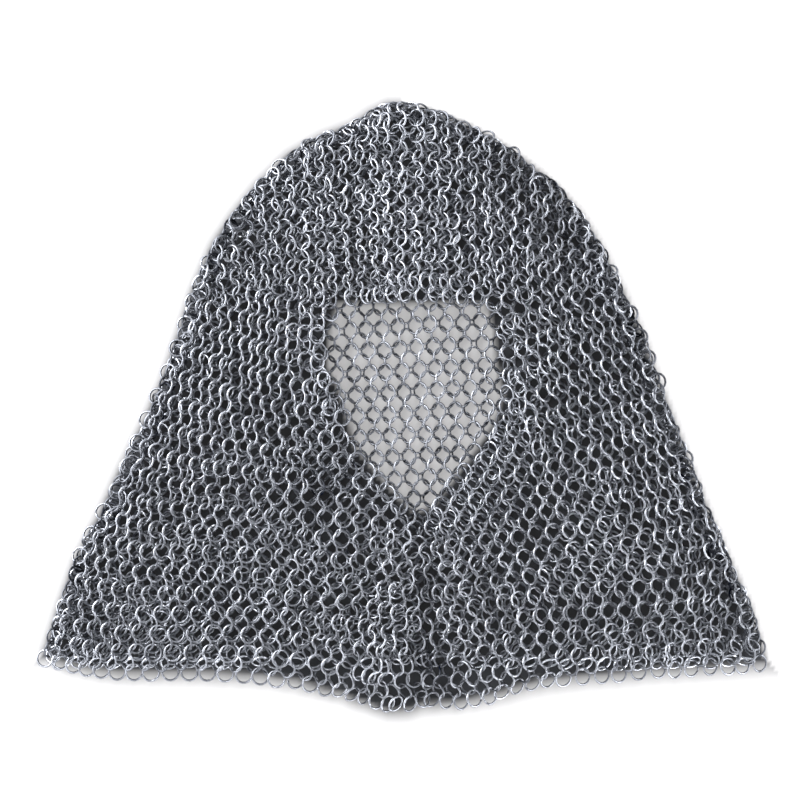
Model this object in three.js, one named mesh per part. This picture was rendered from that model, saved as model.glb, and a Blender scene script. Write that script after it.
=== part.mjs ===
// A chainmail coif laid flat on its back, with the face opening upwards.
// Millimetres: +X to the viewer's right, +Y towards the crown, +Z up, and Z = 0 is the surface that it lies on.
// The mail is one tube, closed at the crown, so it lies as two layers joined along folded edges.
// Each layer is a wall as thick as two rows of tilted rings. The rings themselves aren't cut into it.

import * as THREE from "three";

// Driving dimensions
const ringOuter = 13.2; // outside diameter of one ring
const ringWire = 1.6;
const mailThickness = 6.2; // a layer of rings, each leaning over its neighbours
const seamGap = 0.3; // between two pieces that meet
const foldLip = 1.2; // what is left of a layer's thickness at the very edge of a fold
const hemRowDepth = 10; // the last row of rings, below the panels
const hemRowThickness = 2 * ringWire;
const hemHoleRadius = 3.6; // what stays open in a hem ring beside its two neighbours
const hemDroop = 0.6; // fall per mm of the front layer where it hangs past the back layer's hem
const droopStart = 4; // mm past that hem

const frontBase = mailThickness + seamGap; // underside of the front layer where it lies on the back
const foldRadius = mailThickness;

// The folded edges, from the crown tip down to the hem corners
const foldEdge = [
  { y: 213, left: -12, right: 4 },
  { y: 207, left: -24, right: 25 },
  { y: 198, left: -37, right: 46 },
  { y: 190, left: -59, right: 61 },
  { y: 177, left: -82, right: 80 },
  { y: 156, left: -104, right: 107 },
  { y: 135, left: -121, right: 125 },
  { y: 114, left: -135, right: 138 },
  { y: 82, left: -149, right: 154 },
  { y: 51, left: -159, right: 168 },
  { y: 19, left: -170, right: 179 },
  { y: -12, left: -184, right: 191 },
  { y: -44, left: -200, right: 203 },
  { y: -75, left: -214, right: 215 },
  { y: -107, left: -231, right: 229 },
  { y: -138, left: -242, right: 243 },
  { y: -170, left: -252.5, right: 252.5 },
  { y: -182, left: -251, right: 250 },
];

// The lowest points of the hem rings. The front sags at its middle, where the mail hangs in a V.
const frontHem = [
  { x: -253, y: -182 },
  { x: -241, y: -187 },
  { x: -228, y: -190.5 },
  { x: -170, y: -191.5 },
  { x: -101, y: -194 },
  { x: -73, y: -201 },
  { x: -45, y: -208 },
  { x: -3, y: -213 },
  { x: 39, y: -210 },
  { x: 67, y: -203 },
  { x: 95, y: -198 },
  { x: 123, y: -192 },
  { x: 165, y: -190 },
  { x: 207, y: -189.5 },
  { x: 235, y: -187 },
  { x: 253, y: -182 },
];
const backHem = [
  { x: -253, y: -179 },
  { x: -225, y: -184.5 },
  { x: 0, y: -186 },
  { x: 225, y: -183.5 },
  { x: 253, y: -179 },
];

// The inner edges of the two front sides: the face opening, then the crease below the chin
const chinY = -76;
const innerEdge = [
  { y: 75, left: -47, right: 58 },
  { y: 54, left: -53.5, right: 64 },
  { y: 29, left: -55, right: 66 },
  { y: 8, left: -45.5, right: 70.5 },
  { y: -11, left: -40, right: 64 },
  { y: -30, left: -34.5, right: 51.5 },
  { y: -51, left: -16.5, right: 36 },
  { y: -66, left: -3.5, right: 24.5 },
  { y: chinY, left: 9, right: 9 },
];
const creaseHem = { x: 20, y: -212 };

// Seams of the crown with the sides, along a row of rings from each fold to the face opening
const brow = { foldLeftY: 102, leftX: -47, leftY: 73, rightX: 58, rightY: 75, foldRightY: 110 };

// Soft ridges where the mail stands off the layer below. They fade out at both ends.
const ridges = [
  { name: "crown", fromX: -8, fromY: 198, toX: 0, toY: 92, width: 24, height: 2.4 },
  { name: "temple left", fromX: -95, fromY: 150, toX: -60, toY: 95, width: 16, height: 1.5 },
  { name: "temple right", fromX: 62, fromY: 150, toX: 98, toY: 92, width: 17, height: 1.6 },
  { name: "cheek left", fromX: -74, fromY: 60, toX: -66, toY: -30, width: 14, height: 1.4 },
  { name: "cheek right", fromX: 88, fromY: 60, toX: 84, toY: -30, width: 14, height: 1.6 },
  { name: "shoulder left", fromX: -134, fromY: 8, toX: -112, toY: -92, width: 22, height: 1.9 },
  { name: "shoulder right", fromX: 158, fromY: -12, toX: 124, toY: -80, width: 24, height: 2.1 },
  { name: "chin left", fromX: -30, fromY: -62, toX: -8, toY: -110, width: 13, height: 1.6 },
  { name: "chin right", fromX: 42, fromY: -60, toX: 34, toY: -116, width: 13, height: 1.8 },
  { name: "throat left", fromX: -2, fromY: -104, toX: -6, toY: -176, width: 12, height: 3.2 },
  { name: "throat right", fromX: 36, fromY: -112, toX: 42, toY: -192, width: 12, height: 3.0 },
  { name: "hem gather left", fromX: -52, fromY: -142, toX: -28, toY: -198, width: 12, height: 3.8 },
  { name: "hem gather right", fromX: 74, fromY: -150, toX: 66, toY: -194, width: 13, height: 2.2 },
  { name: "mantle left", fromX: -196, fromY: -96, toX: -172, toY: -178, width: 20, height: 1.6 },
  { name: "mantle right", fromX: 172, fromY: -104, toX: 196, toY: -172, width: 20, height: 1.8 },
];

const mailColour = new THREE.Color(0.3, 0.32, 0.35);

const mix = (a, b, t) => a + (b - a) * t;
const clamp = (v, low, high) => Math.min(high, Math.max(low, v));

// One column of a table, read at a value of its key column with a smooth curve through the rows.
function read(table, key, column, at) {
  const rising = table[1][key] > table[0][key];
  const last = table.length - 2;
  let i = 0;
  while (i < last && (rising ? at > table[i + 1][key] : at < table[i + 1][key])) i += 1;
  const slope = (a, b) => (table[b][column] - table[a][column]) / (table[b][key] - table[a][key]);
  const from = table[i];
  const to = table[i + 1];
  const span = to[key] - from[key];
  const t = clamp((at - from[key]) / span, 0, 1);
  const leaving = slope(Math.max(i - 1, 0), i + 1) * span;
  const arriving = slope(i, Math.min(i + 2, table.length - 1)) * span;
  const h = t * t * (3 - 2 * t);
  return mix(from[column], to[column], h) + t * (1 - t) * ((1 - t) * leaving - t * arriving);
}

const foldX = (side, y) => read(foldEdge, "y", side, y);
const creaseX = (y) => mix(innerEdge.at(-1).left, creaseHem.x, (y - chinY) / (creaseHem.y - chinY));
const innerX = (side, y) => (y > chinY ? read(innerEdge, "y", side, y) : creaseX(y));
const frontHemY = (x) => read(frontHem, "x", "y", x);
const backHemY = (x) => read(backHem, "x", "y", x);

// How far a point lies inside the folded outline
function insideFold(x, y) {
  let nearest = Infinity;
  const outline = [
    ...foldEdge.map((row) => [row.left, row.y]).reverse(),
    ...foldEdge.map((row) => [row.right, row.y]),
  ];
  for (let i = 1; i < outline.length; i += 1) {
    const [ax, ay] = outline[i - 1];
    const [bx, by] = outline[i];
    const length2 = (bx - ax) ** 2 + (by - ay) ** 2;
    const t = clamp(((x - ax) * (bx - ax) + (y - ay) * (by - ay)) / length2, 0, 1);
    nearest = Math.min(nearest, Math.hypot(x - mix(ax, bx, t), y - mix(ay, by, t)));
  }
  return nearest;
}

// Share of a layer's thickness that is left near a fold, where it rounds over to the other layer
function foldShare(x, y) {
  const depth = clamp(insideFold(x, y) / foldRadius, 0, 1);
  const least = foldLip / mailThickness;
  return mix(least, 1, Math.sqrt(1 - (1 - depth) ** 2));
}

function ridgeHeight(x, y) {
  return ridges.reduce((sum, r) => {
    const alongX = r.toX - r.fromX;
    const alongY = r.toY - r.fromY;
    const length = Math.hypot(alongX, alongY);
    const t = ((x - r.fromX) * alongX + (y - r.fromY) * alongY) / length ** 2;
    const past = Math.max(0, -t, t - 1) * length;
    const off = ((x - r.fromX) * alongY - (y - r.fromY) * alongX) / length;
    return sum + r.height * Math.exp(-(off * off + past * past) / r.width ** 2);
  }, 0);
}

// Underside of the front layer: on the back layer, then down to the surface past the back layer's hem
function frontUnderside(x, y) {
  return clamp(frontBase - hemDroop * Math.max(0, backHemY(x) - droopStart - y), 0, frontBase);
}

// Top and bottom of each layer at a point
const frontLayer = (x, y) => {
  const share = foldShare(x, y);
  const rise = ridgeHeight(x, y) * clamp(insideFold(x, y) / 20, 0, 1);
  const under = frontUnderside(x, y);
  return { bottom: under + rise, top: under + rise + mailThickness * share };
};
const backLayer = (x, y) => ({ bottom: mailThickness * (1 - foldShare(x, y)), top: mailThickness });

// A closed wall over a grid of points, rows of [x, y], with each point's top and bottom from layer()
function wall(rows, layer) {
  const across = rows[0].length;
  const positions = [];
  for (const side of ["top", "bottom"])
    for (const row of rows) for (const [x, y] of row) positions.push(x, y, layer(x, y)[side]);
  const under = rows.length * across;
  const at = (r, c) => r * across + c;
  const faces = [];
  const quad = (a, b, c, d) => faces.push(a, b, c, a, c, d);
  for (let r = 1; r < rows.length; r += 1)
    for (let c = 1; c < across; c += 1) {
      const [a, b, d, e] = [at(r - 1, c - 1), at(r - 1, c), at(r, c - 1), at(r, c)];
      quad(a, d, e, b);
      quad(under + a, under + b, under + e, under + d);
    }
  const rim = (a, b) => quad(a, b, under + b, under + a);
  for (let c = 1; c < across; c += 1) {
    rim(at(0, c - 1), at(0, c));
    rim(at(rows.length - 1, c), at(rows.length - 1, c - 1));
  }
  for (let r = 1; r < rows.length; r += 1) {
    rim(at(r, 0), at(r - 1, 0));
    rim(at(r - 1, across - 1), at(r, across - 1));
  }
  const geometry = new THREE.BufferGeometry();
  geometry.setAttribute("position", new THREE.Float32BufferAttribute(positions, 3));
  geometry.setIndex(faces);
  return geometry;
}

// x positions from one edge to the other: close together at each edge, where the wall rounds over
function spreadAcross(from, to, fromInsets, toInsets, between) {
  const way = Math.sign(to - from);
  const start = from + way * fromInsets.at(-1);
  const end = to - way * toInsets.at(-1);
  const middle = Array.from({ length: between }, (_, i) => mix(start, end, (i + 1) / (between + 1)));
  return [
    ...fromInsets.map((inset) => from + way * inset),
    ...middle,
    ...toInsets.map((inset) => to - way * inset).reverse(),
  ];
}

const foldInsets = [0, 1.3, 4.6];
const openInsets = [0, 2];

// Front crown: U-shaped rows of rings, from the brow seam up to the tip
function crownRows() {
  const levels = [
    { leftY: brow.foldLeftY, rightY: brow.foldRightY, sag: 1 },
    { leftY: 116, rightY: 122, sag: 0.84 },
    { leftY: 131, rightY: 136, sag: 0.66 },
    { leftY: 147, rightY: 151, sag: 0.5 },
    { leftY: 162, rightY: 165, sag: 0.37 },
    { leftY: 176, rightY: 178, sag: 0.26 },
    { leftY: 188, rightY: 189, sag: 0.17 },
    { leftY: 197, rightY: 197, sag: 0.1 },
    { leftY: 204, rightY: 204, sag: 0.05 },
    { leftY: 209.5, rightY: 209.5, sag: 0.02 },
    { leftY: 213, rightY: 213, sag: 0 },
  ];
  const fullWidth = foldX("right", brow.foldRightY) - foldX("left", brow.foldLeftY);
  const leftShare = (brow.leftX - foldX("left", brow.foldLeftY)) / fullWidth;
  const rightShare = (brow.rightX - foldX("left", brow.foldLeftY)) / fullWidth;
  return levels.map(({ leftY, rightY, sag }) => {
    const left = foldX("left", leftY);
    const right = foldX("right", rightY);
    const corners = [left, mix(left, right, leftShare), mix(left, right, rightShare), right];
    const heights = [
      leftY,
      leftY - sag * (brow.foldLeftY - brow.leftY),
      rightY - sag * (brow.foldRightY - brow.rightY),
      rightY,
    ];
    const scale = (right - left) / fullWidth;
    const insets = foldInsets.map((inset) => inset * Math.min(1, scale * 3));
    const xs = [
      ...spreadAcross(corners[0], corners[1], insets, [0], 4),
      ...spreadAcross(corners[1], corners[2], [0], [0], 7).slice(1),
      ...spreadAcross(corners[2], corners[3], [0], insets, 4).slice(1),
    ];
    return xs.map((x) => {
      const k = x <= corners[1] ? 0 : x <= corners[2] ? 1 : 2;
      const y = mix(heights[k], heights[k + 1], (x - corners[k]) / (corners[k + 1] - corners[k]));
      return [x, y + seamGap / 2];
    });
  });
}

// Front side: cheek and half of the mantle, in rows from the fold in to the face opening and the crease
const panelHem = (x, hemY) => hemY(x) + hemRowDepth + seamGap;
function sideRows(side) {
  const outward = side === "left" ? -1 : 1;
  const topFold = side === "left" ? brow.foldLeftY : brow.foldRightY;
  const topInner = side === "left" ? brow.leftY : brow.rightY;
  const bottomFold = panelHem(foldX(side, -176), frontHemY);
  const bottomInner = panelHem(creaseHem.x, frontHemY);
  const besideFace = 12;
  const belowChin = 10;
  const rowCount = besideFace + belowChin;
  return Array.from({ length: rowCount + 1 }, (_, r) => {
    const v = r / rowCount;
    const outerY = mix(topFold, bottomFold, v);
    const innerY =
      r < besideFace
        ? mix(topInner, chinY, r / besideFace)
        : mix(chinY, bottomInner, (r - besideFace) / belowChin);
    const outer = foldX(side, outerY);
    const inner = innerX(side, innerY) + (outward * seamGap) / 2;
    return spreadAcross(outer, inner, foldInsets, openInsets, 10).map((x) => {
      const inward = (x - outer) / (inner - outer);
      const straight = mix(outerY, innerY, inward);
      const sag = panelHem(x, frontHemY) - mix(bottomFold, bottomInner, inward);
      return [x, straight + sag * v ** 5 - (r === 0 ? seamGap / 2 : 0)];
    });
  });
}

// Back layer: one sheet from fold to fold, down to its own hem
function backRows() {
  const levels = [213, 209.5, 204, 190, 170, 150, 130, 105, 75, 40, 5, -30, -62, -92, -120, -148, -174];
  return levels.map((level, r) => {
    const left = foldX("left", level);
    const right = foldX("right", level);
    const scale = Math.min(1, (right - left) / 90);
    const insets = foldInsets.map((inset) => inset * scale);
    const isHem = r === levels.length - 1;
    return spreadAcross(left, right, insets, insets, 8).map((x) => [x, isHem ? panelHem(x, backHemY) : level]);
  });
}

// The last row of rings at a hem: a strip with one scallop for each ring, below the panel's last row of points
function hemRow(panelRow, hemY, ringCount, underside, open) {
  const upper = panelRow.map(([x, y]) => [x, y - seamGap]);
  const fromX = upper[0][0];
  const toX = upper.at(-1)[0];
  const pitch = (toX - fromX) / ringCount;
  const arcSteps = 4;
  const reach = Math.min(pitch, ringOuter) / 2;
  const shape = new THREE.Shape();
  shape.moveTo(...upper[0]);
  for (let i = 0; i < ringCount; i += 1) {
    const middle = fromX + (i + 0.5) * pitch;
    for (let s = 0; s <= arcSteps; s += 1) {
      const angle = Math.PI * (1 + (s + 0.5) / (arcSteps + 1));
      const x = middle + reach * Math.cos(angle);
      shape.lineTo(x, hemY(middle) + (ringOuter / 2) * (1 + Math.sin(angle)));
    }
  }
  for (const [x, y] of upper.slice(1).reverse()) shape.lineTo(x, y);
  if (open)
    for (let i = 0; i < ringCount; i += 1) {
      const middle = fromX + (i + 0.5) * pitch;
      const hole = new THREE.Path();
      const width = Math.min(hemHoleRadius, pitch / 2 - ringWire);
      const holeY = hemY(middle) + ringWire + hemHoleRadius;
      hole.absellipse(middle, holeY, width, hemHoleRadius, 0, 2 * Math.PI, true);
      shape.holes.push(hole);
    }
  const options = { depth: hemRowThickness, bevelEnabled: false, curveSegments: 6 };
  const geometry = new THREE.ExtrudeGeometry(shape, options);
  const position = geometry.getAttribute("position");
  for (let i = 0; i < position.count; i += 1) {
    const [x, y] = [position.getX(i), position.getY(i)];
    position.setZ(i, position.getZ(i) + underside(x, y));
  }
  return geometry;
}

const frontRowUnderside = (x, y) => frontUnderside(x, y) + ridgeHeight(x, y) * 0.8;

const coif = new THREE.Group();
function add(name, geometry) {
  geometry.computeVertexNormals();
  const material = new THREE.MeshStandardMaterial({ color: mailColour, roughness: 0.4, metalness: 1 });
  const mesh = new THREE.Mesh(geometry, material);
  mesh.name = name;
  coif.add(mesh);
}

const leftRows = sideRows("left");
const rightRows = sideRows("right").map((row) => row.reverse());
const wholeBackRows = backRows();
add("crown_front", wall(crownRows().reverse(), frontLayer));
add("side_front_left", wall(leftRows, frontLayer));
add("side_front_right", wall(rightRows, frontLayer));
add("back_panel", wall(wholeBackRows, backLayer));
add("hem_front_left", hemRow(leftRows.at(-1), frontHemY, 26, frontRowUnderside, true));
add("hem_front_right", hemRow(rightRows.at(-1), frontHemY, 20, frontRowUnderside, true));
add("hem_back", hemRow(wholeBackRows.at(-1), backHemY, 41, () => 0.8, false));

// The origin goes under the centre of the outline.
const outline = new THREE.Box3().setFromObject(coif, true);
coif.position.set(-(outline.min.x + outline.max.x) / 2, -(outline.min.y + outline.max.y) / 2, -outline.min.z);

export default coif;
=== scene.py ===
import math

import bmesh
import bpy
import numpy as np
from mathutils import Matrix, Vector
from mathutils.bvhtree import BVHTree


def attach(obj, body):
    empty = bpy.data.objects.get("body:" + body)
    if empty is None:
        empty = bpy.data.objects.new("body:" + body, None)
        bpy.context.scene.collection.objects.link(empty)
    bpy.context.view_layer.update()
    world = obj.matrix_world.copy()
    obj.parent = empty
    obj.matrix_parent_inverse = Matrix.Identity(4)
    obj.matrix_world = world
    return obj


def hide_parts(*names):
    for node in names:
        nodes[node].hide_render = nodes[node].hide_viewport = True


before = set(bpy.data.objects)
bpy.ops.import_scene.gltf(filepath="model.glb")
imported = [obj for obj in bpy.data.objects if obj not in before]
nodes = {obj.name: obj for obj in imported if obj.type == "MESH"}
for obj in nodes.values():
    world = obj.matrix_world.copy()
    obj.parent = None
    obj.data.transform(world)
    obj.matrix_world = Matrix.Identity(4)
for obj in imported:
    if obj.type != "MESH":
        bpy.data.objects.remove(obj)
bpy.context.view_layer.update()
mm = 0.001


# Camera and stage: straight down on the coif, low soft lamps all round, strongest from the left and the top
stage = {
    "cameraHeight": 1.6,
    "pictureWidth": 0.56,  # what the frame spans at the surface
    "pictureCentre": (-0.003, 0.005),
    "lampDistance": 1.7,
    "lampSize": 0.9,
    "lamps": [  # name, bearing from +X, height above the surface in degrees, power
        ("left", 180, 16, 56),
        ("upperLeft", 148, 20, 128),
        ("upper", 85, 15, 26),
        ("right", 5, 12, 48),
        ("lowerRight", -45, 11, 70),
        ("lowerLeft", 240, 11, 38),
    ],
    "worldColour": (0.85, 0.92, 1.0),
    "worldStrength": 0.26,
    "floorColour": (0.25, 0.25, 0.253),
    "underMailShadeColour": (0.015, 0.0165, 0.02),  # painted shade, where two layers keep the light off the surface
    "floorPaintedLight": 0.85,  # painted light: the white surface glows in place of lamp light on it
    "floorFine": 0.29,  # half the side of the finely divided part
    "floorSegments": 200,
    "rimScale": 5,  # how much further the plain rim reaches
}
print("stage")
cameraData = bpy.data.cameras.new("camera")
cameraData.sensor_width = 36
cameraData.lens = 36 * stage["cameraHeight"] / stage["pictureWidth"]
camera = bpy.data.objects.new("camera", cameraData)
camera.location = (*stage["pictureCentre"], stage["cameraHeight"])
bpy.context.scene.collection.objects.link(camera)
bpy.context.scene.camera = camera
bpy.context.scene.view_settings.view_transform = "Standard"


def areaLight(name, bearing, elevation, power):
    data = bpy.data.lights.new(name, "AREA")
    data.size = stage["lampSize"]
    data.energy = power
    light = bpy.data.objects.new(name, data)
    turn, rise = math.radians(bearing), math.radians(elevation)
    toward = Vector((math.cos(turn) * math.cos(rise), math.sin(turn) * math.cos(rise), math.sin(rise)))
    light.location = toward * stage["lampDistance"]
    light.rotation_euler = toward.to_track_quat("Z", "Y").to_euler()
    bpy.context.scene.collection.objects.link(light)


for lamp in stage["lamps"]:
    areaLight(*lamp)
world = bpy.data.worlds.new("world")
world.use_nodes = True
background = world.node_tree.nodes["Background"]
background.inputs["Color"].default_value = (*stage["worldColour"], 1)
background.inputs["Strength"].default_value = stage["worldStrength"]
bpy.context.scene.world = world


def newMaterial(name):
    material = bpy.data.materials.new(name)
    material.use_nodes = True
    return material, material.node_tree.nodes, material.node_tree.links


def makeFloor(paintedLightAt):
    # one plane, fine under the coif, with painted light and shade: the share of the paler colour and of the
    # glow at every point
    material, shader, links = newMaterial("white surface with painted light and shade")
    surface = shader["Principled BSDF"]
    surface.inputs["Roughness"].default_value = 0.9
    surface.inputs["Specular IOR Level"].default_value = 0.1
    share = shader.new("ShaderNodeAttribute")
    share.attribute_name = "paintedLight"
    colour = shader.new("ShaderNodeMix")
    colour.data_type = "RGBA"
    colour.inputs["A"].default_value = (*stage["underMailShadeColour"], 1)
    colour.inputs["B"].default_value = (*stage["floorColour"], 1)
    links.new(share.outputs["Fac"], colour.inputs["Factor"])
    paintedGlow = shader.new("ShaderNodeMath")
    paintedGlow.operation = "MULTIPLY"
    paintedGlow.inputs[1].default_value = stage["floorPaintedLight"]
    surface.inputs["Emission Color"].default_value = (1, 0.985, 0.985, 1)
    links.new(share.outputs["Fac"], paintedGlow.inputs[0])
    links.new(paintedGlow.outputs["Value"], surface.inputs["Emission Strength"])
    links.new(colour.outputs["Result"], surface.inputs["Base Color"])
    builder = bmesh.new()
    segments = stage["floorSegments"]
    bmesh.ops.create_grid(builder, x_segments=segments, y_segments=segments, size=stage["floorFine"])
    rim = [vert for vert in builder.verts if vert.is_boundary]
    bmesh.ops.scale(builder, vec=(stage["rimScale"], stage["rimScale"], 1), verts=rim)
    mesh = bpy.data.meshes.new("floor")
    builder.to_mesh(mesh)
    builder.free()
    points = np.array([vert.co for vert in mesh.vertices])[:, :2] / mm
    layer = mesh.attributes.new("paintedLight", "FLOAT", "POINT")
    layer.data.foreach_set("value", paintedLightAt(points).astype(np.float32))
    mesh.materials.append(material)
    floor = bpy.data.objects.new("floor", mesh)
    bpy.context.scene.collection.objects.link(floor)


# Zinc-plated wire: blue-grey, with its own tone on each ring, painted shade and light carried in that same
# tone, dark bloom and fine draw marks
steel = {
    "zinc": (0.235, 0.245, 0.272),
    # dull zinc, also the colour of painted shade
    "dullAndShaded": (0.026, 0.028, 0.034),
    "dullAndShadeShare": 0.5,  # how far the wire goes from zinc to the dull colour, which also carries painted shade, for each step of tone and painted shade
    "bloomScale": 90,
    "roughness": 0.45,
    "roughnessSpread": 0.18,
    "markScale": 1400,
    "markDepth": 0.10,
}


def makeSteel():
    material, shader, links = newMaterial("zinc-plated wire")
    surface = shader["Principled BSDF"]
    surface.inputs["Metallic"].default_value = 1
    place = shader.new("ShaderNodeTexCoord")
    bloom = shader.new("ShaderNodeTexNoise")
    bloom.inputs["Scale"].default_value = steel["bloomScale"]
    bloom.inputs["Detail"].default_value = 4
    toneAndShade = shader.new("ShaderNodeAttribute")
    toneAndShade.attribute_name = "toneAndShade"
    together = shader.new("ShaderNodeMath")
    together.operation = "ADD"
    dullnessAndShade = shader.new("ShaderNodeMapRange")
    dullnessAndShade.clamp = False
    dullnessAndShade.inputs["From Min"].default_value = 0.5
    dullnessAndShade.inputs["From Max"].default_value = 1.5
    dullnessAndShade.inputs["To Max"].default_value = 2 * steel["dullAndShadeShare"]
    colour = shader.new("ShaderNodeMix")
    colour.data_type = "RGBA"
    colour.clamp_factor = False
    colour.inputs["A"].default_value = (*steel["zinc"], 1)
    colour.inputs["B"].default_value = (*steel["dullAndShaded"], 1)
    rough = shader.new("ShaderNodeMapRange")
    rough.inputs["To Min"].default_value = steel["roughness"]
    rough.inputs["To Max"].default_value = steel["roughness"] + steel["roughnessSpread"]
    marks = shader.new("ShaderNodeTexNoise")
    marks.inputs["Scale"].default_value = steel["markScale"]
    bump = shader.new("ShaderNodeBump")
    bump.inputs["Strength"].default_value = steel["markDepth"]
    bump.inputs["Distance"].default_value = 0.1 * mm
    links.new(place.outputs["Object"], bloom.inputs["Vector"])
    links.new(place.outputs["Object"], marks.inputs["Vector"])
    links.new(bloom.outputs["Fac"], together.inputs[0])
    links.new(toneAndShade.outputs["Fac"], together.inputs[1])
    links.new(together.outputs["Value"], dullnessAndShade.inputs["Value"])
    links.new(dullnessAndShade.outputs["Result"], colour.inputs["Factor"])
    links.new(colour.outputs["Result"], surface.inputs["Base Color"])
    links.new(toneAndShade.outputs["Fac"], rough.inputs["Value"])
    links.new(rough.outputs["Result"], surface.inputs["Roughness"])
    links.new(marks.outputs["Fac"], bump.inputs["Height"])
    links.new(bump.outputs["Normal"], surface.inputs["Normal"])
    return material


print("steel")
mailMaterial = makeSteel()


# One butted ring, lying flat round the origin, with its joint at +X
ring = {
    "wire": 1.6 * mm,
    "outside": 13.2 * mm,
    "jointGap": 0.25 * mm,
    "steps": 16,  # round the ring
    "sides": 4,  # round the wire
}
ringRadius = (ring["outside"] - ring["wire"]) / 2


def makeRing():
    builder = bmesh.new()
    made = bmesh.ops.create_circle(builder, segments=ring["sides"], radius=ring["wire"] / 2)
    gapAngle = ring["jointGap"] / ringRadius
    onEdge = Matrix.Translation((ringRadius, 0, 0)) @ Matrix.Rotation(math.pi / 2, 4, "X")
    turn = Matrix.Rotation(gapAngle / 2, 4, "Z")
    bmesh.ops.transform(builder, matrix=turn @ onEdge, verts=made["verts"])
    bmesh.ops.spin(
        builder,
        geom=builder.verts[:] + builder.edges[:],
        axis=(0, 0, 1),
        cent=(0, 0, 0),
        angle=2 * math.pi - gapAngle,
        steps=ring["steps"],
    )
    bmesh.ops.holes_fill(builder, edges=[edge for edge in builder.edges if edge.is_boundary])
    bmesh.ops.recalc_face_normals(builder, faces=builder.faces)
    builder.verts.index_update()
    points = np.array([vert.co for vert in builder.verts])
    faces = sorted([vert.index for vert in face.verts] for face in builder.faces)  # alike in each run
    builder.free()
    return points, faces


ringPoints, ringFaces = makeRing()
print("ring", len(ringPoints), "points", len(ringFaces), "faces")


# Where the rings of the front layer lie: guide points in mm at every sixth column and row of rings.
# Columns count from the middle of the crown, rows from the crown down to the hem.
# The left guide serves the left half of the hood and the right guide the right half.
guideStep = 6
firstRow = -6
hemRow = 48
middleX = 5  # rings of the crown's foot go to the left side up to here
hemRoom = 60  # below their table the folded edges run on straight for this many mm
leftGuide = {
    "serves": (-20, 12),  # from this column up to that one
    "columns": [-18, -12, -6, 0, 6, 12],
    "points": [
        [(-107, 224), (-73, 219), (-38, 216), (-3, 218), (37, 223), (78, 232)],
        [(-121, 187), (-83, 179), (-40, 170), (3, 168), (50, 180), (109, 190)],
        [(-136, 148), (-92, 136), (-46, 127), (10, 125), (75, 138), (137, 143)],
        [(-149, 106), (-103, 94), (-53, 83), (13, 82), (90, 87), (152, 88)],
        [(-159, 60), (-117, 46), (-77, 34), (-22, 26), (66, 27), (149, 29)],
        [(-179, 11), (-138, -4), (-91, -16), (-33, -23), (46, -28), (134, -29)],
        [(-199, -38), (-159, -54), (-101, -61), (-29, -65), (46, -75), (115, -79)],
        [(-226, -85), (-178, -100), (-110, -103), (-33, -107), (31, -117), (96, -118)],
        [(-248, -132), (-191, -143), (-118, -144), (-45, -149), (9, -159), (73, -152)],
        [(-260, -173), (-200, -184), (-125, -185), (-54, -195), (-4, -207), (48, -201)],
        [(-271, -220), (-204, -228), (-132, -232), (-65, -241), (-14, -253), (30, -259)],
    ],
}
rightGuide = {
    "serves": (-12, 18),
    "columns": [-12, -6, 0, 6, 12, 18],
    "points": [
        [(-79, 214), (-40, 216), (-2, 218), (38, 222), (86, 238), (136, 257)],
        [(-97, 171), (-41, 169), (2, 168), (50, 181), (104, 204), (151, 223)],
        [(-113, 126), (-50, 126), (11, 125), (69, 141), (115, 164), (165, 184)],
        [(-115, 77), (-60, 82), (17, 82), (86, 95), (132, 121), (179, 142)],
        [(-98, 23), (-23, 27), (53, 34), (104, 51), (150, 72), (192, 97)],
        [(-70, -28), (8, -25), (77, -16), (126, 4), (169, 24), (217, 50)],
        [(-42, -75), (15, -69), (85, -61), (149, -44), (194, -24), (246, 3)],
        [(-22, -119), (29, -113), (94, -102), (167, -93), (222, -76), (275, -45)],
        [(-12, -167), (43, -158), (105, -144), (178, -139), (244, -129), (301, -95)],
        [(-6, -209), (48, -202), (112, -188), (189, -183), (260, -177), (326, -153)],
        [(-6, -248), (55, -238), (121, -231), (195, -229), (274, -224), (352, -215)],
    ],
}
# The folded edges of the garment and the edges of the face opening, in mm, as (y, left x, right x)
foldEdge = [
    (213, -12, 4), (207, -24, 25), (198, -37, 46), (190, -59, 61), (177, -82, 80), (156, -104, 107),
    (135, -121, 125), (114, -135, 138), (82, -149, 154), (51, -159, 168), (19, -170, 179), (-12, -184, 191),
    (-44, -200, 203), (-75, -214, 215), (-107, -231, 229), (-138, -242, 243), (-170, -252.5, 252.5),
    (-200, -260, 260),
]
faceEdge = [
    (74, -47, 58), (54, -53.5, 64), (29, -55, 66), (8, -45.5, 70.5), (-11, -40, 64), (-30, -34.5, 51.5),
    (-51, -16.5, 36), (-66, -3.5, 24.5), (-76, 9, 9),
]
creaseFoot = (-212, 20, 20)  # below the chin the two sides meet along a crease that ends here


def outlineOf(edge):
    # one run of points up the left side of an edge table and down the right
    left = [(row[1], row[0]) for row in reversed(edge)]
    return np.array(left + [(row[2], row[0]) for row in edge], float)


foldLine = outlineOf(foldEdge)
faceLine = outlineOf(faceEdge)  # closed, because the table ends in one point


def catmull(t):
    return np.stack([
        -0.5 * t + t**2 - 0.5 * t**3,
        1 - 2.5 * t**2 + 1.5 * t**3,
        0.5 * t + 2 * t**2 - 1.5 * t**3,
        -0.5 * t**2 + 0.5 * t**3,
    ])


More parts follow.
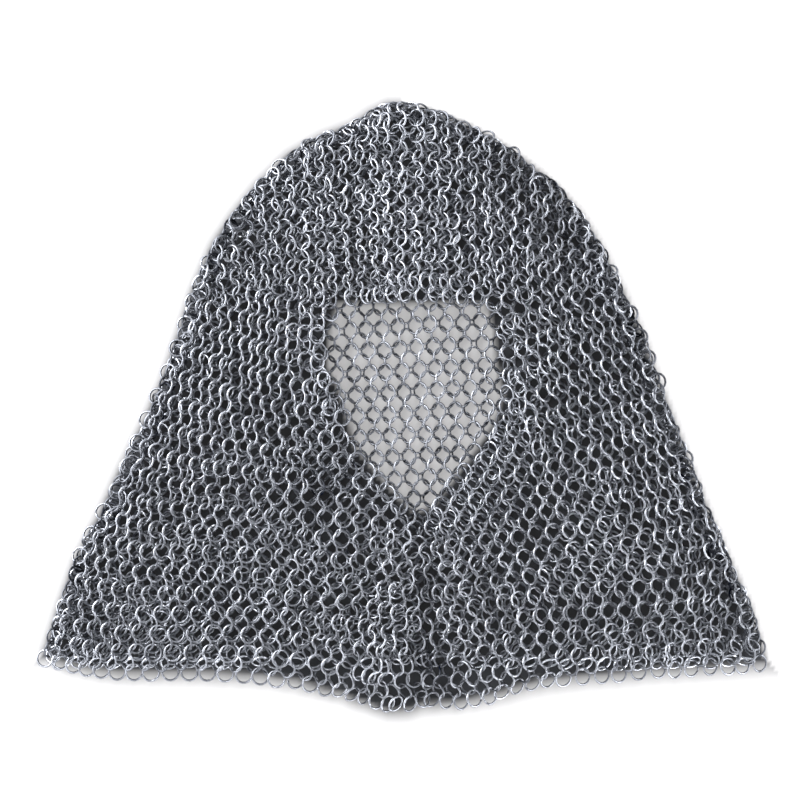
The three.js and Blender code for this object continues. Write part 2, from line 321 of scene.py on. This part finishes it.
def readGuide(guide, column, row):
    around = ((1, 1), (1, 1), (0, 0))
    table = np.pad(np.array(guide["points"], float), around, mode="reflect", reflect_type="odd")
    last = np.array(table.shape[:2]) - 3.001  # the last whole patch of four by four points
    i = np.clip((column - guide["columns"][0]) / guideStep, 0, last[1])
    j = np.clip((row - firstRow) / guideStep, 0, last[0])
    wide, tall = catmull(i % 1), catmull(j % 1)
    i, j = i.astype(int), j.astype(int)
    place = np.zeros((len(column), 2))
    for a in range(4):
        for b in range(4):
            place += (tall[a] * wide[b])[:, None] * table[j + a, i + b]
    return place


def unit(vectors):
    return vectors / np.maximum(np.linalg.norm(vectors, axis=1), 1e-6)[:, None]


def distanceTo(line, places):
    # distance in mm from each place to a run of points, and the way to its nearest point
    nearest = np.full(len(places), 1e9)
    toward = np.zeros((len(places), 2))
    for start, end in zip(line[:-1], line[1:]):
        t = np.clip((places - start) @ (end - start) / ((end - start) @ (end - start)), 0, 1)
        away = places - (start + t[:, None] * (end - start))
        length = np.linalg.norm(away, axis=1)
        closer = length < nearest
        nearest[closer] = length[closer]
        toward[closer] = -away[closer]
    return nearest, unit(toward)


def across(edge, side, places):
    # x of one side of an edge table beside each place
    table = np.array(edge, float)[::-1]
    return np.interp(places[:, 1], table[:, 0], table[:, side])


def insideOf(edge, places, below=0):
    between = (places[:, 0] > across(edge, 1, places)) & (places[:, 0] < across(edge, 2, places))
    return between & (places[:, 1] < edge[0][0]) & (places[:, 1] > edge[-1][0] - below)


rng = np.random.default_rng(11)
weave = {
    "thickness": 6.2,  # of one layer, mm
    "frontLean": (0.20, 0.70),  # slope of the rings in even rows and, the other way, in odd rows
    "backLean": (0.28, 0.62),
    "loosePitch": 12.4,  # mm between rings of a row where they lean no more than this
    "crowdLean": (0.13, 0.08),  # how much more for each mm that they are crowded together
    "mostCrowded": 6,
    "rightLean": (0.30, 0.15),  # how much more on the right side
    "rightFrom": (40, 40),  # the right side starts at this x and is fully itself so much further
    "toneSpread": 0.45,
    "oddPaintedShade": 0.4,  # painted shade: how much darker the rings of the odd rows are painted, as the lower rows lie in shade
    "livelyEvens": 0.6,  # how much of that painted shade is lost where the rows are lively
    "oddSink": 1.1,  # how far they lie below the even rows, mm
    "calm": {"place": 0.25, "lean": 0.06, "drift": 0.25},
    "lively": {"place": 0.90, "lean": 0.20, "drift": 0.9},
    "crownFrom": (60, 60),  # the crown is lively from this y, fully so much further up
    "rightLively": 0.15,
    "chin": {"place": (5, -200), "reach": (55, 70)},
    "waveLengths": (30, 6),  # the shortest of the drift's waves, and the step to the next, mm
    "foldReach": 7.5,  # how far from a folded edge the rings start to turn over
    "foldAngle": 52,
    "layerGap": 0.3,  # between the two layers
    "floorGap": 0.05,  # between the lowest rings and the surface
}
waves = rng.uniform(-1, 1, (10, 5))


def partWay(values, start, reach):
    return np.clip((values - start) / reach, 0, 1)


def liveliness(places):
    # 0 where the rows lie calm, on the left, 1 on the crown, on the right side and below the chin
    crown = partWay(places[:, 1], *weave["crownFrom"])
    right = weave["rightLively"] * partWay(places[:, 0], *weave["rightFrom"])
    fromChin = (places - weave["chin"]["place"]) / weave["chin"]["reach"]
    chin = np.exp(-(fromChin[:, 0] ** 2) - fromChin[:, 1] ** 2)
    return np.maximum(np.maximum(crown, right), chin)


def loosen(places):
    # a smooth, uneven drift that rings close together share, and a small shift of each ring's own
    drift = np.zeros_like(places)
    for k, (a, b, phase, dx, dy) in enumerate(waves):
        length = weave["waveLengths"][0] + weave["waveLengths"][1] * k
        wave = np.sin((places[:, 0] * a + places[:, 1] * b) * 2 * math.pi / length + phase * math.pi)
        drift += wave[:, None] * np.array([dx, dy])
    life = liveliness(places)[:, None]
    calm, lively = weave["calm"], weave["lively"]
    own = rng.normal(0, 1, places.shape) * (calm["place"] * (1 - life) + lively["place"] * life)
    return places + drift * (calm["drift"] * (1 - life) + lively["drift"] * life) + own


# The crown's own lattice, in mm, which takes over from the guides at its foot
crownNet = {
    "rows": 28,
    "halfRow": 16,  # rings on either side of the middle
    "pitch": 9.8,
    "rowHeight": 5.9,
    "middle": 2,
    "lowest": 78.2,
    "arch": 0.0007,
    "from": 79,  # its foot beside the face opening
    "overFace": (-46, 57, 75),  # between these two x it reaches down to this y
    "overlap": 0.5,  # how far the guides' rows run up past its foot
    "leanPitch": 11.2,  # they lean like rings this far apart
}


def isCrownPlace(places):
    over = (places[:, 0] > crownNet["overFace"][0]) & (places[:, 0] < crownNet["overFace"][1])
    return places[:, 1] > np.where(over, crownNet["overFace"][2], crownNet["from"])


def guideSites(guide, half):
    # row number, place and step along the row of every ring that one guide serves
    rows, places, alongs = [], [], []
    for row in range(firstRow, hemRow + 1):
        column = np.arange(*guide["serves"]) + (0.5 if row % 2 else 0)
        rowOf = np.full(len(column), float(row))
        at = readGuide(guide, column, rowOf)
        along = readGuide(guide, column + 0.5, rowOf) - readGuide(guide, column - 0.5, rowOf)
        inner = across([*faceEdge, creaseFoot], 1 if half < 0 else 2, at)
        own = ~isCrownPlace(at - (0, crownNet["overlap"])) & ((at[:, 0] < inner) == (half < 0))
        rows.append(rowOf[own])
        places.append(at[own])
        alongs.append(along[own])
    return np.concatenate(rows), np.concatenate(places), np.concatenate(alongs)


def crownSites():
    # the crown's rows lie nearly level and arch a little over the middle
    rows, places = [], []
    for row in range(crownNet["rows"]):
        columns = np.arange(-crownNet["halfRow"], crownNet["halfRow"] + 1) + (0.5 if row % 2 else 0)
        x = columns * crownNet["pitch"] + crownNet["middle"]
        y = crownNet["lowest"] + row * crownNet["rowHeight"]
        rows.append(np.full(len(x), float(row)))
        places.append(np.column_stack([x, y - crownNet["arch"] * (x - crownNet["middle"]) ** 2]))
    rows, places = np.concatenate(rows), np.concatenate(places)
    climb = -2 * crownNet["arch"] * (places[:, 0] - crownNet["middle"])
    alongs = np.column_stack([np.ones(len(rows)), climb])
    own = isCrownPlace(places)
    return rows[own], places[own], unit(alongs)[own] * crownNet["leanPitch"]


def surfaceOf(names):
    builder = bmesh.new()
    for name in names:
        builder.from_mesh(nodes[name].data)
    tree = BVHTree.FromBMesh(builder)
    builder.free()
    return tree


castHeight = 50  # above everything, mm
edgeLevel = 12.5  # past a solid's edge the face nearest to this height counts
steepest = 0.6  # faces whose normal rises less are walls, and rings don't follow their slope


def topOf(tree, places):
    # height and slope of a layer's upper face under each place, in mm
    heights, slopes = np.zeros(len(places)), np.zeros((len(places), 2))
    for k, (x, y) in enumerate(places * mm):
        hit, normal, _, _ = tree.ray_cast(Vector((x, y, castHeight * mm)), Vector((0, 0, -1)))
        if hit is None:
            hit, normal, _, _ = tree.find_nearest(Vector((x, y, edgeLevel * mm)))
        heights[k] = hit.z / mm
        if abs(normal.z) > steepest:
            slopes[k] = (-normal.x / normal.z, -normal.y / normal.z)
    return heights, slopes


def leanRings(places, rows, alongs, slopes, slant, rightMore):
    # rings lean along their row, even rows one way and odd rows the other, further where they are crowded
    even = rows.astype(int) % 2 == 0
    crowded = np.clip(weave["loosePitch"] - np.linalg.norm(alongs, axis=1), 0, weave["mostCrowded"])
    spread = weave["calm"]["lean"] + (weave["lively"]["lean"] - weave["calm"]["lean"]) * liveliness(places)
    more = weave["crowdLean"]
    right = partWay(places[:, 0], *weave["rightFrom"])
    lean = np.where(
        even,
        slant[0] + more[0] * crowded + rightMore[0] * right,
        -slant[1] - more[1] * crowded - rightMore[1] * right,
    )
    lean += rng.normal(0, 1, len(rows)) * spread
    normals = np.column_stack([unit(alongs) * lean[:, None] - slopes, np.ones(len(rows))])
    normals[:, 1] += rng.normal(0, 1, len(rows)) * spread
    return unit(normals)


def turnAtFold(places, normals, heights, upper):
    # rings near a folded edge turn over towards it and come to half way between the layers
    distance, outward = distanceTo(foldLine, places)
    t = np.clip(1 - distance / weave["foldReach"], 0, 1)
    angle = np.radians(weave["foldAngle"]) * t * t * (3 - 2 * t)
    turned = normals * np.cos(angle)[:, None]
    turned[:, :2] += (1 if upper else -1) * outward * np.sin(angle)[:, None]
    over = np.sin(angle)
    return unit(turned), heights * (1 - over) + (weave["thickness"] + weave["layerGap"]) * over


def seat(normals, heights):
    # no ring reaches below the surface
    reach = ringRadius / mm * np.sqrt(np.clip(1 - normals[:, 2] ** 2, 0, 1)) + ring["wire"] / mm / 2
    return np.maximum(heights, reach + weave["floorGap"])


paintedShadeAndLightPatches = [  # x, y, radius in mm, how much painted shade darkens the rings there, and painted light brightens them where this is below 0
    (-59, -58, 22, 0.25), (-108, 124, 24, 0.2), (74, 163, 22, 0.3), (112, 128, 24, 0.3),
    (235, -150, 26, 0.25), (15, -130, 12, 0.45), (20, -185, 16, 0.45), (-20, 152, 16, -0.25),
    (2, 124, 18, -0.3), (2, 96, 16, -0.3),
]


def toneAndShadeAt(places, rows, oddPaintedShade):
    # each ring's random tone, plus painted shade on the odd rows and painted shade and light in patches
    odd = np.where(rows.astype(int) % 2 == 0, 0, oddPaintedShade)
    toneAndShade = rng.uniform(0, weave["toneSpread"], len(places))
    toneAndShade += odd * (1 - weave["livelyEvens"] * liveliness(places))
    for x, y, radius, amount in paintedShadeAndLightPatches:
        away = np.linalg.norm(places - (x, y), axis=1) / radius
        toneAndShade += amount * np.exp(-away**2)
    return np.clip(toneAndShade, 0, 1)


def ringSheet(name, places, heights, normals, tonesAndShade):
    # one joined mesh of rings, each turned at random about its own axis so that the joints lie anywhere
    side = unit(np.cross([0.0, 1.0, 0.0], normals))
    up = np.cross(normals, side)
    spin = rng.uniform(0, 2 * math.pi, len(places))[:, None]
    u, v = np.cos(spin) * side + np.sin(spin) * up, -np.sin(spin) * side + np.cos(spin) * up
    centres = np.column_stack([places, seat(normals, heights)]) * mm
    x, y, z = (ringPoints[None, :, k, None] for k in range(3))
    points = (centres[:, None] + x * u[:, None] + y * v[:, None] + z * normals[:, None]).reshape(-1, 3)
    count = len(ringPoints)
    faces = [[k * count + corner for corner in face] for k in range(len(places)) for face in ringFaces]
    mesh = bpy.data.meshes.new(name)
    mesh.from_pydata(points.tolist(), [], faces)
    mesh.polygons.foreach_set("use_smooth", [True] * len(faces))
    toneLayer = mesh.attributes.new("toneAndShade", "FLOAT", "POINT")
    toneLayer.data.foreach_set("value", np.repeat(tonesAndShade, count).astype(np.float32))
    mesh.materials.append(mailMaterial)
    piece = bpy.data.objects.new(name, mesh)
    bpy.context.scene.collection.objects.link(piece)
    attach(piece, "root")
    triangles = sum(len(face) - 2 for face in ringFaces) * len(places)
    print(name, len(places), "rings", triangles, "triangles")
    return piece


# The front layer
front = {
    "foldMargin": 2.5,  # from a folded edge to the nearest ring centres, mm
    "faceMargin": 0.8,  # from the edge of the face opening
    "crownFoot": 84,  # rings above this y belong to the crown
    "creaseDip": 1.6,  # how far the rings sink along the crease
    "creaseWidth": 7,
    "clear": 5,  # no ring of the rows this close to a ring that is placed one by one
    "browRow": {"from": (-7, 90), "to": (36, 86.5), "pitch": 6.6, "rise": 1.0},
    "edgeRings": [  # loose rings that stand out on the edge of the face opening: x, y
        (-59, 39), (-56, 19), (-52.5, 0), (-46, -18), (76.5, 0.5), (76, 21), (88, -12), (92, -28),
    ],
    "edgeRise": 1.2,
    "browEdge": {  # the row that hangs over the top of the face opening, and the band it lies in
        "band": [(81.5, -46, 57), (72, -46, 57)],
        "rise": 1.2,
        "lean": 0.75,
        "toneAndShade": 0.1,
    },
}
print("front rings")
leftSites, rightSites = guideSites(leftGuide, -1), guideSites(rightGuide, 1)
rows, places, alongs = (np.concatenate(parts) for parts in zip(leftSites, rightSites, crownSites()))
leftCount, rightCount = len(leftSites[0]), len(rightSites[0])
halves = np.where(places[:, 0] < middleX, -1, 1)  # left or right: the crown's rings go by their place
halves[:leftCount] = -1  # and the others by their guide
halves[leftCount:leftCount + rightCount] = 1
places = loosen(places)
keep = insideOf(foldEdge, places, hemRoom) & (distanceTo(foldLine, places)[0] > front["foldMargin"])
keep &= ~insideOf(faceEdge, places) & (distanceTo(faceLine, places)[0] > front["faceMargin"])
brow = front["browRow"]
browLine = np.array([brow["from"], brow["to"]], float)
keep &= ~((distanceTo(browLine, places)[0] < front["clear"]) & (rows % 2 == 0))
edgeRings = np.array(front["edgeRings"], float)
for spot in edgeRings:
    keep &= np.linalg.norm(places - spot, axis=1) >= front["clear"]
rows, halves, places, alongs = (part[keep] for part in (rows, halves, places, alongs))

# Rings placed one by one, which lean like an even row: the brow's crowded row and the face opening's loose
# rings
browPlaces = np.linspace(*browLine, int(np.linalg.norm(browLine[1] - browLine[0]) / brow["pitch"]) + 1)
placed = np.concatenate([browPlaces, edgeRings])
placedRise = np.repeat([brow["rise"], front["edgeRise"]], [len(browPlaces), len(edgeRings)])
rise = np.concatenate([np.zeros(len(places)), placedRise])
rows = np.concatenate([rows, np.zeros(len(placed))])
halves = np.concatenate([halves, np.where(placed[:, 0] < middleX, -1, 1)])
places = np.concatenate([places, placed])
alongs = np.concatenate([alongs, np.tile([brow["pitch"], 0.0], (len(placed), 1))])

frontNodes = ["crown_front", "side_front_left", "side_front_right", "hem_front_left", "hem_front_right"]
upperFace, slopes = topOf(surfaceOf(frontNodes), places)
browEdge = insideOf(front["browEdge"]["band"], places)
rise[browEdge] += front["browEdge"]["rise"]
heights = upperFace - weave["thickness"] / 2 + rise
heights -= weave["oddSink"] * (rows % 2) * (1 - liveliness(places))
creaseLine = np.array([(faceEdge[-1][1], faceEdge[-1][0]), (creaseFoot[1], creaseFoot[0])], float)
heights -= front["creaseDip"] * np.exp(-(distanceTo(creaseLine, places)[0] / front["creaseWidth"]) ** 2)
normals = leanRings(places, rows, alongs, slopes, weave["frontLean"], weave["rightLean"])
normals[browEdge, 0] += front["browEdge"]["lean"]
normals, heights = turnAtFold(places, unit(normals), heights, True)
tonesAndShade = toneAndShadeAt(places, rows, weave["oddPaintedShade"])
tonesAndShade[browEdge] += front["browEdge"]["toneAndShade"]

isHem = rows == hemRow
isCrown = ((places[:, 1] > front["crownFoot"]) | browEdge) & ~isHem
isLeft = (halves < 0) & ~isCrown & ~isHem
isRight = (halves > 0) & ~isCrown & ~isHem


def frontSheet(name, own, node):
    piece = ringSheet(name, places[own], heights[own], normals[own], tonesAndShade[own])
    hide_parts(node)
    return piece


# Painted light and shade on the white surface: how much of its light is painted as getting past the mail, in
# mm and as shares of its full light
paintedFloorLight = {
    "foldInset": 1,
    "faceOutset": 1,
    "hemInset": 1.5,
    "bunch": {"x": -12, "reach": 38, "drop": 5},  # painted shade: below the chin the bunched hem lets nothing through
    "softness": 4,
    "hemBand": 3,  # the hem's painted shadow starts so far above its ring centres
    # painted shade: the share of light in the face opening and under the mail
    "opening": 0.47,
    "underMail": 0.014,
    "shade": {"left": 0.72, "right": 0.35, "hem": 0.92},  # painted shadow: how much it darkens just outside the coif
    "shadeReach": {"left": 9, "right": 7, "hem": 11},
}


def paintedLightAt(points):
    # painted light and shade on the floor: pale outside with a painted shadow along the outline, dimmer in
    # the face opening, near black under the mail
    inside = np.where(insideOf(foldEdge, points, hemRoom), 1, -1) * distanceTo(foldLine, points)[0]
    inFace = insideOf(faceEdge, points)
    besideFace = np.where(inFace, -1, 1) * distanceTo(faceLine, points)[0]
    order = np.argsort(places[isHem, 0])
    aboveHem = points[:, 1] - np.interp(points[:, 0], places[isHem, 0][order], places[isHem, 1][order])
    bunch = paintedFloorLight["bunch"]
    bunched = bunch["drop"] * np.exp(-((points[:, 0] - bunch["x"]) / bunch["reach"]) ** 2)
    depth = np.minimum(inside - paintedFloorLight["foldInset"], besideFace + paintedFloorLight["faceOutset"])
    depth = np.minimum(depth, aboveHem - paintedFloorLight["hemInset"] + bunched)
    nearHem = aboveHem < np.minimum(paintedFloorLight["hemBand"], inside)
    side = np.where(nearHem, "hem", np.where(points[:, 0] < 0, "left", "right"))
    shade = np.array([paintedFloorLight["shade"][name] for name in side])
    reach = np.array([paintedFloorLight["shadeReach"][name] for name in side])
    outside = 1 - shade * np.exp(np.minimum(depth, 0) / reach)
    light = np.where(inFace, paintedFloorLight["opening"], outside)
    covered = np.clip(depth / paintedFloorLight["softness"] + 0.5, 0, 1)
    return np.maximum(paintedFloorLight["underMail"], light * (1 - covered))


makeFloor(paintedLightAt)
crown = frontSheet("crownRings", isCrown, "crown_front")
leftSide = frontSheet("leftRings", isLeft, "side_front_left")
rightSide = frontSheet("rightRings", isRight, "side_front_right")
hemLeft = frontSheet("hemRingsLeft", isHem & (halves < 0), "hem_front_left")
hemRight = frontSheet("hemRingsRight", isHem & (halves > 0), "hem_front_right")


# The folded edge: rings that stand where the front turns over into the back
fold = {
    "pitch": 4.6,
    "start": 34,  # mm along the edge from its ends
    "inset": (-0.5, 2.5),  # mm from the edge to the outermost wire
    "turn": (12, 60),  # degrees that a ring stands up
    "twist": 0.5,
    "lift": 1.2,  # the most that a ring lies above or below the middle of its layer pair
    "tonesAndShade": (0.6, 1.0),
    "wayFrom": 0.97,  # the way outwards is read a little inside the edge
}
print("folded edge")
steps = np.linalg.norm(np.diff(foldLine, axis=0), axis=1)
along = np.concatenate([[0], np.cumsum(steps)])
foldAt = np.arange(fold["start"], along[-1] - fold["start"], fold["pitch"])
foldPlaces = np.column_stack([np.interp(foldAt, along, foldLine[:, k]) for k in range(2)])
_, foldWay = distanceTo(foldLine, foldPlaces * fold["wayFrom"])
foldTurn = np.radians(rng.uniform(*fold["turn"], len(foldAt)))
foldInset = ringRadius / mm * np.cos(foldTurn) + ring["wire"] / mm / 2
foldInset += rng.uniform(*fold["inset"], len(foldAt))
foldPlaces = foldPlaces - foldWay * foldInset[:, None]
foldAcross = np.column_stack([-foldWay[:, 1], foldWay[:, 0]])
foldAcross *= rng.normal(0, fold["twist"], len(foldAt))[:, None]
foldUp = np.where(np.arange(len(foldAt)) % 2, 1, -1)
foldFlat = unit(foldWay + foldAcross) * np.sin(foldTurn)[:, None]
foldNormals = np.column_stack([foldFlat, foldUp * np.cos(foldTurn)]) * foldUp[:, None]
foldHeights = weave["thickness"] + weave["layerGap"] + foldUp * rng.uniform(0, fold["lift"], len(foldAt))
foldTones = rng.uniform(*fold["tonesAndShade"], len(foldAt))


# The back layer: one even lattice, rising a little to the right, that opens slightly towards the hem
back = {
    "rows": 54,
    "halfRow": 26,
    "pitch": 11.3,
    "hemPitch": 12.6,
    "flareRows": 14,  # the mantle flares over this many rows
    "rise": 0.07,
    "levelRows": 8,  # the rows come from level at the hem to that rise over so many
    "rowHeight": 7.55,
    "columnLean": 0.09,
    "hemY": -178,
    "highest": 208,
    "foldMargin": 4.2,
    "oddPaintedShade": 0.4,
    "coverMargin": 4,  # rings this far outside the face opening count as covered
    "stir": 0.25,  # the covered rings lean any way
    "coveredPaintedLight": -0.7,  # painted light: the covered rings are painted brighter so that they show in the gaps
    "hemTilt": 0.9,  # slope of the rings that stand up along the hem
    "split": -58,  # hood above, mantle below
}
print("back rings")
backPlaces, backRows = [], []
for row in range(back["rows"]):
    up = row * back["rowHeight"]
    pitch = back["pitch"] + (back["hemPitch"] - back["pitch"]) * max(0, 1 - row / back["flareRows"])
    columns = np.arange(-back["halfRow"], back["halfRow"] + 1) + (0.5 if row % 2 else 0)
    x = columns * pitch - up * back["columnLean"]
    y = back["hemY"] + up + x * back["rise"] * min(1, row / back["levelRows"])
    backPlaces.append(np.column_stack([x, y]))
    backRows.append(np.full(len(x), row))
backPlaces, backRows = np.concatenate(backPlaces), np.concatenate(backRows)
backPlaces = loosen(backPlaces)
within = insideOf(foldEdge, backPlaces, hemRoom) & (backPlaces[:, 1] < back["highest"])
within &= distanceTo(foldLine, backPlaces)[0] > back["foldMargin"]
backPlaces, backRows = backPlaces[within], backRows[within]
backAlongs = np.tile([back["pitch"], back["pitch"] * back["rise"]], (len(backRows), 1))
level = np.zeros((len(backRows), 2))
backNormals = leanRings(backPlaces, backRows, backAlongs, level, weave["backLean"], (0, 0))
backNormals[backRows == 0, 1] -= back["hemTilt"]
covered = ~insideOf(faceEdge, backPlaces) & (distanceTo(faceLine, backPlaces)[0] > back["coverMargin"])
backNormals[covered, :2] += rng.normal(0, back["stir"], (int(covered.sum()), 2))
backHeights = np.full(len(backRows), weave["thickness"] / 2)
backNormals, backHeights = turnAtFold(backPlaces, unit(backNormals), backHeights, False)
# the covered back rings get painted light
backTones = toneAndShadeAt(backPlaces, backRows, back["oddPaintedShade"]) + back["coveredPaintedLight"] * covered

# The folded edge's rings join the back layer, as rings of its second row
backPlaces = np.concatenate([backPlaces, foldPlaces])
backRows = np.concatenate([backRows, np.full(len(foldPlaces), 1)])
backNormals = np.concatenate([backNormals, foldNormals])
backHeights = np.concatenate([backHeights, foldHeights])
backTones = np.concatenate([backTones, foldTones])


def backSheet(name, own, node):
    piece = ringSheet(name, backPlaces[own], backHeights[own], backNormals[own], backTones[own])
    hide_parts(node)
    return piece


upper = backPlaces[:, 1] > back["split"]
backHood = backSheet("backRingsHood", upper & (backRows > 0), "back_panel")
backMantle = backSheet("backRingsMantle", ~upper & (backRows > 0), "back_panel")
hemBack = backSheet("hemRingsBack", backRows == 0, "hem_back")
